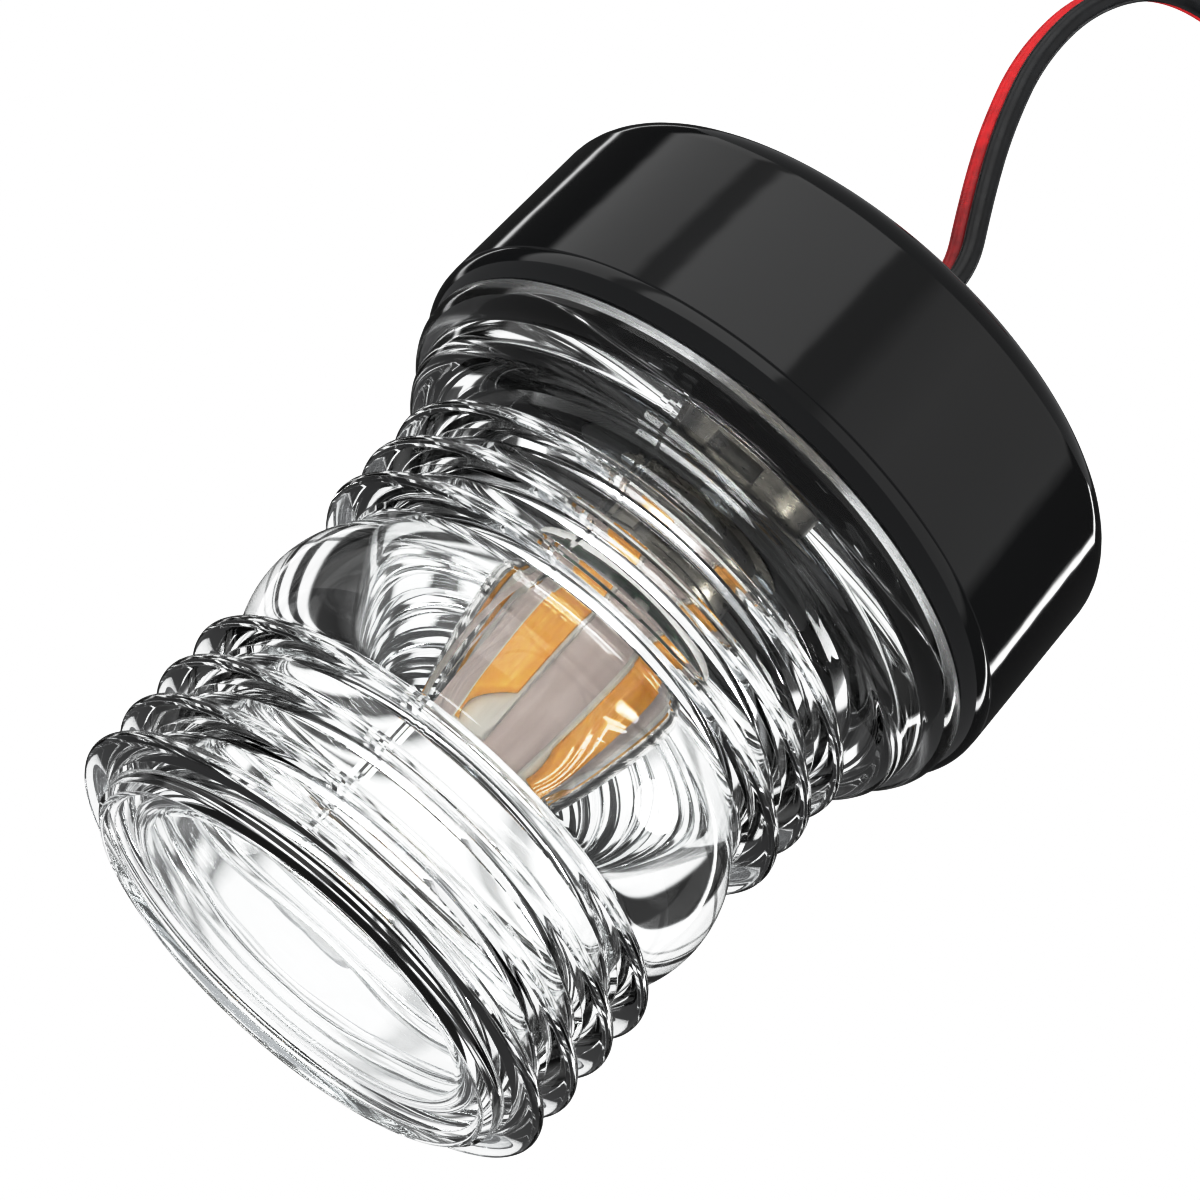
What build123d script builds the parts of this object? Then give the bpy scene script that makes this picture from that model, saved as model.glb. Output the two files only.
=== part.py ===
"""All-round LED navigation light: a black moulded base with a screw-on Fresnel lens over a bayonet lamp.

The frame is in millimetres. The origin is the centre of the mounting face, +Z runs along the lens axis
from the base to the lens tip, and -Y is the side that is looked at first. The cord leaves downwards.
"""

import os
from math import cos, pi, radians, sin, tan

from build123d import *

# ---------------------------------------------------------------- driving dimensions
rib_radius = 29.0  # crest of every Fresnel rib
crest_half = 0.85  # half the thickness of a rib at its crest
root_half = 1.6  # half its thickness at the wall
wall_radius = 25.2  # outside of the lens wall between the ribs
cavity_radius = 22.2  # inside of the lens
lower_ribs = [37.85, 43.2, 48.5]  # rib heights above the mounting face
upper_ribs = [69.4, 74.9, 80.4, 85.7]
belt_height = 59.25  # middle of the belt lens
belt_radius = 28.5  # its widest radius
belt_half = 8.4  # half of its height
tip_radius = 25.1
tip_height = 89.1  # the light's overall height

flange_radius = 34.6
flange_bottom = 25.6
skirt_radius = 30.2
skirt_bottom = 11.0
skirt_bore = 28.0
seal_land_radius = 31.2
seal_land_bottom = 22.4

base_radius = 36.0  # at the crease, the widest place
crease_height = 22.4
base_draft = 1.46  # degrees
base_bore = 33.0
floor_height = 4.0
edge_fillet = 4.0
pad_recess = 1.5
pad_inner, pad_outer = 9.0, 28.0

screw_circle = 23.0  # radius of the mounting hole circle
screw_hole = 2.3
screw_angles = [90, 210, 330]

thread_lead = 18.0  # three starts, 6 mm apart
thread_bore = 31.7
lens_ridge_radius = 31.4
collar_ridge_radius = 30.5
ridge_thickness = 1.3
ridge_span = 28.0  # degrees each side of its middle
lens_ridge_height = 15.2
collar_ridge_height = 16.75

post_circle = 14.0
post_radius = 2.8
post_angles = [30, 150, 270]
plate_bottom, plate_top = 17.0, 19.5
plate_radius = 17.5

contact_offset = 3.2  # the two lamp contacts lie this far each side of the axis
socket_bore, socket_radius = 7.6, 8.2
socket_top = 33.0
rivet_circle = 9.8
pin_radius, pin_height, pin_reach = 1.0, 29.0, 9.0
push_travel = 2.0
turn_travel = 25.0  # degrees
play = 0.1

lamp_radius = 11.3
lamp_top = 57.5
cap_radius = 7.5
collar_bottom, collar_top = 35.6, 39.0
column_apothem = 9.0
strip_top = 53.8
strip_bottom = 41.8
strip_first = -68.0  # azimuth of the first of the six strips, in degrees
strip_count = 6

wire_radius = 1.15
wire_offset = 1.16  # each conductor's centre from the cord's centre
cord_turn = 66.0  # the flat cord's width runs at this azimuth where it leaves
lead_radius = 1.0

os.makedirs("parts", exist_ok=True)


def save(piece, name):
    """Labels a finished piece and writes it as one STEP file."""
    piece.part.label = name
    export_step(piece.part, f"parts/{name}.step")


def thread_ridge(inner, outer, height):
    """One start of the thread: a short sloping ridge between two radii, centred on azimuth 0."""
    slope = thread_lead / (2 * pi * (inner + outer) / 2)
    side = outer * 1.5
    with BuildPart() as ridge:
        with BuildSketch(Plane.XY.offset(height - 4)):
            Circle(outer)
            Circle(inner, mode=Mode.SUBTRACT)
            half = radians(ridge_span)
            with BuildLine():
                Polyline(
                    (0, 0),
                    (side * cos(half), -side * sin(half)),
                    (side * cos(half), side * sin(half)),
                    close=True,
                )
            make_face(mode=Mode.INTERSECT)
        extrude(amount=8)
        normal = (0, -slope, 1)
        top = Plane(origin=(0, 0, height + ridge_thickness / 2), z_dir=normal)
        bottom = Plane(origin=(0, 0, height - ridge_thickness / 2), z_dir=normal)
        split(bisect_by=top, keep=Keep.BOTTOM)
        split(bisect_by=bottom, keep=Keep.TOP)
    return ridge


# ---------------------------------------------------------------- base
foot_radius = base_radius - crease_height * tan(radians(base_draft))

with BuildPart() as base_cup:
    with BuildSketch(Plane.XZ) as cup_section:
        with BuildLine():
            Polyline(
                (0, 0),
                (foot_radius, 0),
                (base_radius, crease_height),
                (base_bore, crease_height),
                (base_bore, floor_height),
                (0, floor_height),
                close=True,
            )
        make_face()
        fillet(cup_section.vertices().sort_by_distance((foot_radius, 0, 0))[0], edge_fillet)
    revolve(axis=Axis.Z)
    with BuildSketch(Plane.XY):
        Circle(pad_outer + 0.1)
        Circle(pad_inner - 0.1, mode=Mode.SUBTRACT)
    extrude(amount=pad_recess, mode=Mode.SUBTRACT)
    with BuildSketch(Plane.XY.offset(floor_height)):
        for angle in post_angles:
            with PolarLocations(post_circle, 1, start_angle=angle):
                Circle(post_radius)
    extrude(amount=plate_bottom - floor_height)
    with BuildSketch(Plane.XY.offset(plate_bottom - 7)):
        for angle in post_angles:
            with PolarLocations(post_circle, 1, start_angle=angle):
                Circle(1.15)
    extrude(amount=7, mode=Mode.SUBTRACT)
    with BuildSketch(Plane.XY):
        Circle(5.0)
        for angle in screw_angles:
            with PolarLocations(screw_circle, 1, start_angle=angle):
                Circle(screw_hole)
    extrude(amount=floor_height, mode=Mode.SUBTRACT)
save(base_cup, "base_cup")

with BuildPart() as collar:
    with BuildSketch(Plane.XZ):
        with BuildLine():
            Polyline((34.3, 25.5), (32.9, 25.5), (32.9, 23.9), (thread_bore, 23.9), (thread_bore, 12.0),
                     (base_bore, 12.0), (base_bore, crease_height), (base_radius - 0.1, crease_height))
            ThreePointArc((base_radius - 0.1, crease_height), (35.6, 24.4), (34.3, 25.5))
        make_face()
    revolve(axis=Axis.Z)
    ridge = thread_ridge(collar_ridge_radius, thread_bore + 0.3, collar_ridge_height)
    with PolarLocations(0, 3, start_angle=60):
        add(ridge.part)
save(collar, "collar")

with BuildPart() as mounting_pad:
    with BuildSketch(Plane.XY):
        Circle(pad_outer)
        Circle(pad_inner, mode=Mode.SUBTRACT)
        for angle in screw_angles:
            with PolarLocations(screw_circle, 1, start_angle=angle):
                Circle(screw_hole, mode=Mode.SUBTRACT)
    extrude(amount=pad_recess)
save(mounting_pad, "mounting_pad")

with BuildPart() as cord_grommet:
    with BuildSketch(Plane.XZ):
        with BuildLine():
            Polyline((0, 0), (5.0, 0), (5.0, 4.0), (6.8, 4.0), (6.8, 5.2), (4.6, 6.0), (0, 6.0), close=True)
        make_face()
    revolve(axis=Axis.Z)
    with BuildSketch(Plane.XY):
        with PolarLocations(wire_offset, 2, start_angle=cord_turn):
            Circle(wire_radius + 0.05)
    extrude(amount=6.0, mode=Mode.SUBTRACT)
save(cord_grommet, "cord_grommet")

# ---------------------------------------------------------------- lamp holder
with BuildPart() as holder_plate:
    with BuildSketch(Plane.XY.offset(plate_bottom)):
        Circle(plate_radius)
        Circle(socket_bore, mode=Mode.SUBTRACT)
        for angle in post_angles:
            with PolarLocations(post_circle, 1, start_angle=angle):
                Circle(1.5, mode=Mode.SUBTRACT)
        with PolarLocations(rivet_circle, 2):
            Circle(0.8, mode=Mode.SUBTRACT)
    extrude(amount=plate_top - plate_bottom)
    fillet(holder_plate.edges().filter_by(GeomType.CIRCLE).group_by(SortBy.RADIUS)[-1], 0.5)
save(holder_plate, "holder_plate")

with BuildPart() as plate_screws:
    for angle in post_angles:
        with PolarLocations(post_circle, 1, start_angle=angle):
            with Locations((0, 0, plate_top)):
                Cylinder(2.4, 1.6, align=(Align.CENTER, Align.CENTER, Align.MIN))
                Cylinder(1.1, 9.0, align=(Align.CENTER, Align.CENTER, Align.MAX))
            with Locations((0, 0, plate_top + 1.0)):
                Box(3.0, 0.5, 0.6, align=(Align.CENTER, Align.CENTER, Align.MIN), mode=Mode.SUBTRACT)
                Box(0.5, 3.0, 0.6, align=(Align.CENTER, Align.CENTER, Align.MIN), mode=Mode.SUBTRACT)
save(plate_screws, "plate_screws")

with BuildPart() as socket_shell:
    with BuildSketch(Plane.XY.offset(plate_top)):
        Circle(11.4)
        Circle(socket_bore, mode=Mode.SUBTRACT)
        with PolarLocations(rivet_circle, 2):
            Circle(0.8, mode=Mode.SUBTRACT)
    extrude(amount=0.8)
    with BuildSketch(Plane.XY.offset(plate_top)):
        Circle(socket_radius)
        Circle(socket_bore, mode=Mode.SUBTRACT)
    extrude(amount=socket_top - plate_top)
    # Two J slots: a window that the pins turn and sink in, and a channel up to the mouth.
    pin_half_angle = 8.5
    window_bottom = pin_height - push_travel - pin_radius - play
    window_top = pin_height + pin_radius + play
    for side in (-90, 90):
        for first, last, low, high in (
            (-pin_half_angle, turn_travel + pin_half_angle, window_bottom, window_top),
            (turn_travel - pin_half_angle, turn_travel + pin_half_angle, window_bottom, socket_top),
        ):
            with BuildSketch(Plane.XY.offset(low)):
                with BuildLine():
                    reach = 14.0
                    Polyline(
                        (0, 0),
                        (reach * cos(radians(side + first)), reach * sin(radians(side + first))),
                        (reach * cos(radians(side + last)), reach * sin(radians(side + last))),
                        close=True,
                    )
                make_face()
                Circle(socket_bore - 1, mode=Mode.SUBTRACT)
            extrude(amount=high - low, mode=Mode.SUBTRACT)
save(socket_shell, "socket_shell")

with BuildPart() as socket_rivets:
    with PolarLocations(rivet_circle, 2):
        with Locations((0, 0, plate_bottom)):
            Cylinder(0.75, plate_top + 0.8 - plate_bottom, align=(Align.CENTER, Align.CENTER, Align.MIN))
            Cylinder(1.5, 0.6, align=(Align.CENTER, Align.CENTER, Align.MAX))
        with Locations((0, 0, plate_top + 0.8)):
            Cylinder(1.5, 0.6, align=(Align.CENTER, Align.CENTER, Align.MIN))
save(socket_rivets, "socket_rivets")

carrier_bottom, carrier_top = 14.0, 21.5
with BuildPart() as contact_carrier:
    with BuildSketch(Plane.XY.offset(carrier_bottom)):
        Circle(cap_radius)
    extrude(amount=carrier_top - carrier_bottom)
    with BuildSketch(Plane.XY.offset(carrier_bottom)):
        with PolarLocations(contact_offset, 2):
            Circle(1.75)
    extrude(amount=7.0, mode=Mode.SUBTRACT)
    with BuildSketch(Plane.XY.offset(carrier_bottom)):
        with PolarLocations(contact_offset, 2):
            Circle(1.3)
    extrude(amount=carrier_top - carrier_bottom, mode=Mode.SUBTRACT)
save(contact_carrier, "contact_carrier")

with BuildPart() as contact_plungers:
    with PolarLocations(contact_offset, 2):
        with Locations((0, 0, 19.0)):
            Cylinder(1.65, 1.6, align=(Align.CENTER, Align.CENTER, Align.MIN))
            Cylinder(1.22, 4.85, align=(Align.CENTER, Align.CENTER, Align.MIN))
    fillet(contact_plungers.faces().group_by(Axis.Z)[-1].edges(), 0.4)
save(contact_plungers, "contact_plungers")

with BuildPart() as contact_springs:
    with BuildSketch(Plane.XY.offset(carrier_bottom + 0.05)):
        with PolarLocations(contact_offset, 2):
            Circle(1.6)
            Circle(1.15, mode=Mode.SUBTRACT)
    extrude(amount=19.0 - carrier_bottom - 0.1)
save(contact_springs, "contact_springs")

tag_thickness = 0.6
with BuildPart() as terminal_tags:
    for side in (0, 180):
        with BuildSketch(Plane.XY.offset(carrier_bottom - tag_thickness)):
            with Locations(Location((0, 0, 0), (0, 0, side))):
                with Locations((6.9, 0)):
                    RectangleRounded(10.2, 3.4, 1.2)
        extrude(amount=tag_thickness)
save(terminal_tags, "terminal_tags")

# ---------------------------------------------------------------- lamp
with BuildPart() as lamp_cap:
    with BuildSketch(Plane.XY.offset(24.6)):
        Circle(cap_radius)
        Circle(cap_radius - 0.4, mode=Mode.SUBTRACT)
    extrude(amount=collar_bottom - 24.6)
save(lamp_cap, "lamp_cap")

with BuildPart() as lamp_pins:
    for side in (-90, 90):
        reach_plane = Plane(
            origin=(cap_radius * cos(radians(side)), cap_radius * sin(radians(side)), pin_height),
            z_dir=(cos(radians(side)), sin(radians(side)), 0),
        )
        with BuildSketch(reach_plane.offset(0.02)):
            Circle(pin_radius)
        extrude(amount=pin_reach - cap_radius)
save(lamp_pins, "lamp_pins")

with BuildPart() as lamp_insulator:
    with BuildSketch(Plane.XY.offset(24.3)):
        Circle(cap_radius - 0.42)
        with PolarLocations(contact_offset, 2):
            Circle(1.0, mode=Mode.SUBTRACT)
    extrude(amount=2.2)
save(lamp_insulator, "lamp_insulator")

with BuildPart() as lamp_contacts:
    with PolarLocations(contact_offset, 2):
        with Locations((0, 0, 23.9)):
            Cylinder(1.7, 0.4, align=(Align.CENTER, Align.CENTER, Align.MIN))
            Cylinder(0.98, 3.0, align=(Align.CENTER, Align.CENTER, Align.MIN))
save(lamp_contacts, "lamp_contacts")

with BuildPart() as lamp_collar:
    with BuildSketch(Plane.XZ):
        with BuildLine():
            Polyline((0, collar_bottom), (8.6, collar_bottom), (lamp_radius, 37.2), (lamp_radius, collar_top),
                     (10.2, collar_top), (10.2, 37.4), (0, 37.4), close=True)
        make_face()
    revolve(axis=Axis.Z)
save(lamp_collar, "lamp_collar")

board_bottom = 37.5
with BuildPart() as driver_board:
    with BuildSketch(Plane.XY.offset(board_bottom)):
        Circle(10.0)
    extrude(amount=1.0)
save(driver_board, "driver_board")

with BuildPart() as driver_chips:
    with Locations((-3.0, 1.9, board_bottom + 1.0)):
        Box(4.0, 3.2, 1.3, align=(Align.CENTER, Align.CENTER, Align.MIN))
    with Locations((3.6, 1.6, board_bottom + 1.0)):
        Box(2.6, 2.0, 1.1, align=(Align.CENTER, Align.CENTER, Align.MIN))
    with Locations((0.6, -2.8, board_bottom + 1.0)):
        Box(3.2, 1.6, 0.9, align=(Align.CENTER, Align.CENTER, Align.MIN))
    with Locations((-3.8, -1.6, board_bottom + 1.0)):
        Cylinder(1.2, 1.3, align=(Align.CENTER, Align.CENTER, Align.MIN))
save(driver_chips, "driver_chips")

column_bottom, column_top = 40.0, 54.8
with BuildPart() as led_column:
    with BuildSketch(Plane.XY.offset(column_bottom)):
        RegularPolygon(column_apothem, 2 * strip_count, major_radius=False, rotation=strip_first + 15)
        Circle(6.0, mode=Mode.SUBTRACT)
    extrude(amount=column_top - column_bottom)
save(led_column, "led_column")

with BuildPart() as column_feet:
    with PolarLocations(7.2, 3, start_angle=20):
        with Locations((0, 0, board_bottom + 1.0)):
            Cylinder(0.9, column_bottom - board_bottom - 1.0, align=(Align.CENTER, Align.CENTER, Align.MIN))
save(column_feet, "column_feet")

board_thickness, phosphor_thickness = 0.6, 0.35
with BuildPart() as led_boards:
    with PolarLocations(column_apothem + 0.02, strip_count, start_angle=strip_first):
        with Locations((0, 0, strip_bottom - 1.2)):
            Box(board_thickness, 4.6, strip_top - strip_bottom + 2.0,
                align=(Align.MIN, Align.CENTER, Align.MIN))
save(led_boards, "led_boards")

with BuildPart() as led_strips:
    with PolarLocations(column_apothem + 0.04 + board_thickness, strip_count, start_angle=strip_first):
        with Locations((0, 0, strip_bottom)):
            Box(phosphor_thickness, 4.0, strip_top - strip_bottom,
                align=(Align.MIN, Align.CENTER, Align.MIN))
save(led_strips, "led_strips")

with BuildPart() as column_disc:
    with BuildSketch(Plane.XY.offset(column_top + 0.02)):
        Circle(8.2)
        Circle(1.6, mode=Mode.SUBTRACT)
    extrude(amount=0.9)
save(column_disc, "column_disc")

cover_wall = 0.9
with BuildPart() as lamp_cover:
    with BuildSketch(Plane.XZ):
        with BuildLine():
            shoulder = 4.6
            inner_shoulder = shoulder - cover_wall
            drop = shoulder * (1 - sin(radians(45)))
            inner_radius = lamp_radius - cover_wall
            inner_top = lamp_top - cover_wall
            inner_drop = inner_shoulder * (1 - sin(radians(45)))
            Polyline((0, inner_top), (0, lamp_top), (lamp_radius - shoulder, lamp_top))
            ThreePointArc(
                (lamp_radius - shoulder, lamp_top),
                (lamp_radius - drop, lamp_top - drop),
                (lamp_radius, lamp_top - shoulder),
            )
            Polyline(
                (lamp_radius, lamp_top - shoulder),
                (lamp_radius, collar_top),
                (inner_radius, collar_top),
                (inner_radius, inner_top - inner_shoulder),
            )
            ThreePointArc(
                (inner_radius, inner_top - inner_shoulder),
                (inner_radius - inner_drop, inner_top - inner_drop),
                (inner_radius - inner_shoulder, inner_top),
            )
            Line((inner_radius - inner_shoulder, inner_top), (0, inner_top))
        make_face()
    revolve(axis=Axis.Z)
save(lamp_cover, "lamp_cover")

# ---------------------------------------------------------------- lens
with BuildPart() as lens:
    with BuildSketch(Plane.XZ):
        with BuildLine():
            # Skirt, sealing land, flange and the stepped collar above it.
            Polyline(
                (skirt_bore, skirt_bottom),
                (skirt_radius, skirt_bottom),
                (skirt_radius, seal_land_bottom),
                (seal_land_radius, seal_land_bottom),
                (seal_land_radius, flange_bottom),
                (flange_radius, flange_bottom),
                (flange_radius, 26.9),
            )
            ThreePointArc((flange_radius, 26.9), (33.9, 28.4), (32.3, 29.2))
            Line((32.3, 29.2), (32.0, 31.0))
            ThreePointArc((32.0, 31.0), (31.4, 32.3), (30.2, 32.8))
            ThreePointArc((30.2, 32.8), (26.8, 33.6), (wall_radius, 35.4))
            height = 35.4
            for rib in lower_ribs + upper_ribs:
                if rib == upper_ribs[0]:
                    foot = (wall_radius, belt_height - belt_half)
                    head = (wall_radius, belt_height + belt_half)
                    Line((wall_radius, height), foot)
                    ThreePointArc(foot, (belt_radius, belt_height), head)
                    height = head[1]
                shoulder_radius = rib_radius - crest_half
                Polyline(
                    (wall_radius, height),
                    (wall_radius, rib - root_half),
                    (shoulder_radius, rib - crest_half),
                )
                ThreePointArc(
                    (shoulder_radius, rib - crest_half),
                    (rib_radius, rib),
                    (shoulder_radius, rib + crest_half),
                )
                Line((shoulder_radius, rib + crest_half), (wall_radius, rib + root_half))
                height = rib + root_half
            # Tip: a raised rim round a shallow dished end.
            Polyline(
                (wall_radius, height),
                (tip_radius, height + 0.1),
                (tip_radius, tip_height - 0.7),
                (tip_radius - 0.7, tip_height),
                (23.9, tip_height),
                (23.2, tip_height - 1.0),
            )
            TangentArc((0, tip_height - 0.6), (23.2, tip_height - 1.0), tangent=(1, 0))
            # Cavity, from its ceiling down to the skirt.
            Polyline(
                (0, tip_height - 0.6),
                (0, 85.4),
                (cavity_radius - 2.8, 85.4),
            )
            ThreePointArc((cavity_radius - 2.8, 85.4), (cavity_radius - 1.1, 84.7), (cavity_radius - 0.4, 83.0))
            Polyline(
                (cavity_radius - 0.4, 83.0),
                (cavity_radius, 34.0),
                (24.0, 29.6),
                (skirt_bore, 26.6),
                (skirt_bore, skirt_bottom),
            )
        make_face()
    revolve(axis=Axis.Z)
    ridge = thread_ridge(skirt_radius - 0.3, lens_ridge_radius, lens_ridge_height)
    with PolarLocations(0, 3, start_angle=60):
        add(ridge.part)
save(lens, "lens")

seal_section = 0.7
with BuildPart() as lens_seal:
    with BuildSketch(Plane.XZ):
        with Locations((seal_land_radius + seal_section + 0.03, 24.85)):
            Circle(seal_section)
    revolve(axis=Axis.Z)
save(lens_seal, "lens_seal")

# ---------------------------------------------------------------- leads inside the base
tilt = Vector(cos(radians(cord_turn)), sin(radians(cord_turn)), 0)
lead_top = carrier_bottom - tag_thickness
for name, side in (("lead_black", -1), ("lead_red", 1)):
    start = tilt * (side * wire_offset) + Vector(0, 0, 6.0)
    route = [start, start + Vector(0, 0, 3.6), (side * 10.4, 0, 9.0), (side * 10.4, 0, lead_top)]
    with BuildPart() as lead:
        with BuildLine() as lead_path:
            FilletPolyline(*route, radius=[1.5, 1.9])
        lead_line = lead_path.wires()[0]
        with BuildSketch(Plane(origin=lead_line @ 0, z_dir=lead_line % 0)):
            Circle(lead_radius)
        sweep()
    save(lead, name)

# ---------------------------------------------------------------- cord
# The route of the flat cord's centre, in the plane that faces -Y: (x, z), from inside the grommet down.
cord_route = [
    (0.0, 6.0),
    (0.0, -7.0),
    (-0.7, -16.5),
    (1.9, -25.5),
    (5.6, -34.2),
    (8.9, -43.4),
    (6.8, -53.2),
    (-0.2, -60.2),
    (-10.4, -62.7),
    (-19.8, -68.2),
    (-25.6, -79.0),
    (-26.0, -94.0),
    (-22.8, -107.5),
    (-21.4, -121.5),
    (-23.2, -135.0),
]


def corner_radii(points):
    """The largest arc that each corner's two runs allow: 0.45 of the shorter over tan(half the turn)."""
    found = []
    for before, corner, after in zip(points, points[1:], points[2:]):
        first, second = corner - before, after - corner
        turn = first.get_angle(second)
        found.append(0.45 * min(first.length, second.length) / tan(radians(turn / 2)))
    return found


route = [Vector(x, 0, z) for x, z in cord_route]
radii = corner_radii(route)
print("cord radii", [round(r, 1) for r in radii])
for name, side in (("cord_black", -1), ("cord_red", 1)):
    with BuildPart() as conductor:
        with BuildLine() as cord_path:
            FilletPolyline(*route, radius=radii)
        middle_line = cord_path.wires()[0]
        start_plane = Plane(origin=middle_line @ 0, x_dir=(0, 1, 0), z_dir=middle_line % 0)
        across = (sin(radians(cord_turn)) * side * wire_offset, cos(radians(cord_turn)) * side * wire_offset)
        with BuildSketch(start_plane):
            with Locations(across):
                Circle(wire_radius)
        sweep()
    section = pi * wire_radius**2
    print(name, "length", round(middle_line.length, 1),
          "volume", round(conductor.part.volume), "section x length", round(section * middle_line.length))
    save(conductor, name)
    # Each conductor is torn off the pair at the far end, stripped and tinned.
    end = middle_line @ 1
    tail_direction = middle_line % 1
    end_plane = Plane(origin=end, x_dir=(0, 1, 0), z_dir=tail_direction)
    root = end_plane.from_local_coords(Vector(across[0], across[1], 0.02))
    splay = Vector(side * 0.16, side * 0.22, 0)
    bend = root + tail_direction * 7.0
    middle = bend + (tail_direction + splay) * 8.0
    tip = middle + (tail_direction + splay * 0.3) * 8.0
    with BuildPart() as tail:
        with BuildLine() as tail_path:
            FilletPolyline(root, bend, middle, tip, radius=corner_radii([root, bend, middle, tip]))
        tail_line = tail_path.wires()[0]
        with BuildSketch(Plane(origin=tail_line @ 0, z_dir=tail_line % 0)):
            Circle(wire_radius)
        sweep()
    save(tail, name.replace("cord", "tail"))
    with BuildPart() as strands:
        with BuildSketch(Plane(origin=tail_line @ 1, z_dir=tail_line % 1).offset(0.02)):
            Circle(0.6)
        extrude(amount=7.0)
        fillet(strands.faces().sort_by(Axis.Z)[0].edges(), 0.25)
    save(strands, name.replace("cord", "strands"))
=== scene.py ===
"""All-round navigation light: its looks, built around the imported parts.

Everything is in metres in the parts' frame: the origin is the centre of the mounting face, +Z runs along
the lens axis to its tip, and -Y is the side that the camera sees.
"""

from math import atan2, cos, hypot, pi, radians, sin, tan

import bpy
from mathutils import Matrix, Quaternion, Vector


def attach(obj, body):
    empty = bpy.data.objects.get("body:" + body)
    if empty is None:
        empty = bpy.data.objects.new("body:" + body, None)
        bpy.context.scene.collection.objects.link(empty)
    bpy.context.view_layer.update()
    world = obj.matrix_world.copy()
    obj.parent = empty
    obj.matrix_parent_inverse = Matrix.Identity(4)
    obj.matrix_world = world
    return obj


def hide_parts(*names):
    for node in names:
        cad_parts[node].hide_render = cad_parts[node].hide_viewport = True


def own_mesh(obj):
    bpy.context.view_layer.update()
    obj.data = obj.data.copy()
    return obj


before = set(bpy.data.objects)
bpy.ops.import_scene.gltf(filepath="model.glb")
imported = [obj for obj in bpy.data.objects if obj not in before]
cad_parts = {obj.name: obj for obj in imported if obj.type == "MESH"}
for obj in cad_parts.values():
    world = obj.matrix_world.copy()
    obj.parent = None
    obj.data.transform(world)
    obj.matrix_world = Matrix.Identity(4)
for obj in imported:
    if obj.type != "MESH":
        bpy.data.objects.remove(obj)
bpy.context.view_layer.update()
bpy.ops.object.select_all(action="DESELECT")

MM = 0.001
TURN = 2 * pi

# ---------------------------------------------------------------- camera
AIM_HEIGHT = 37.65 * MM
CAMERA_DISTANCE = 512.4 * MM
CAMERA_ELEVATION = radians(23.08)
CAMERA_ROLL = radians(-137.6)

camera = bpy.data.objects.new("camera", bpy.data.cameras.new("camera"))
bpy.context.scene.collection.objects.link(camera)
bpy.context.scene.camera = camera
camera.data.sensor_width = 36.0
camera.data.lens = 151.3
camera.data.shift_x = -0.0129
camera.data.shift_y = 0.0117
camera.data.clip_start = 0.01
camera.data.clip_end = 100.0
towards_camera = Vector((0, -cos(CAMERA_ELEVATION), sin(CAMERA_ELEVATION)))
camera.location = Vector((0, 0, AIM_HEIGHT)) + towards_camera * CAMERA_DISTANCE
camera.rotation_mode = "QUATERNION"
level = (-towards_camera).to_track_quat("-Z", "Y")
camera.rotation_quaternion = level @ Quaternion((0, 0, 1), CAMERA_ROLL)


# ---------------------------------------------------------------- materials
def linear(code):
    """An sRGB hex colour as linear RGBA."""
    channels = [int(code[i:i + 2], 16) / 255 for i in (1, 3, 5)]
    return [c / 12.92 if c <= 0.04045 else ((c + 0.055) / 1.055) ** 2.4 for c in channels] + [1.0]


def add_node(tree, kind, links=None, sockets=None, **settings):
    """Adds one node, sets its own settings and its sockets' values, and links other nodes' outputs to it."""
    made = tree.nodes.new(kind)
    for name, value in settings.items():
        setattr(made, name, value)
    for name, value in (sockets or {}).items():
        made.inputs[name].default_value = value
    for name, source in (links or {}).items():
        tree.links.new(source, made.inputs[name])
    return made


def new_material(name, **sockets):
    """A material with one Principled shader, whose sockets take the given values, and Object coordinates."""
    material = bpy.data.materials.new(name)
    material.use_nodes = True
    tree = material.node_tree
    shader = tree.nodes["Principled BSDF"]
    for socket, value in sockets.items():
        shader.inputs[socket.replace("_", " ")].default_value = value
    place = add_node(tree, "ShaderNodeTexCoord").outputs["Object"]
    return material, tree, shader, place


def noise_between(tree, place, size_mm, low, high, detail=3.0):
    """A noise with features of a real size in millimetres, stretched to run from low to high."""
    noise = add_node(tree, "ShaderNodeTexNoise", {"Vector": place},
                     {"Scale": 1000 / size_mm, "Detail": detail})
    reach = {"From Min": 0.3, "From Max": 0.7, "To Min": low, "To Max": high}
    return add_node(tree, "ShaderNodeMapRange", {"Value": noise.outputs["Fac"]}, reach).outputs["Result"]


def grained(name, dark, pale, roughness, grain_mm, bump_mm=0.01, spread=0.08, **sockets):
    """A surface whose colour, roughness and fine relief wander a little over a grain of a real size."""
    material, tree, shader, place = new_material(name, **sockets)
    tone = noise_between(tree, place, grain_mm * 2.5, 0.0, 1.0)
    mix = add_node(tree, "ShaderNodeMix", {"Factor": tone}, data_type="RGBA")
    mix.inputs["A"].default_value = linear(dark)
    mix.inputs["B"].default_value = linear(pale)
    tree.links.new(mix.outputs["Result"], shader.inputs["Base Color"])
    rough = noise_between(tree, place, grain_mm * 4, roughness - spread, roughness + spread)
    tree.links.new(rough, shader.inputs["Roughness"])
    relief = noise_between(tree, place, grain_mm, 0.0, 1.0)
    bump = add_node(tree, "ShaderNodeBump", {"Height": relief}, {"Strength": 1.0, "Distance": bump_mm * MM})
    tree.links.new(bump.outputs["Normal"], shader.inputs["Normal"])
    return material


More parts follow.
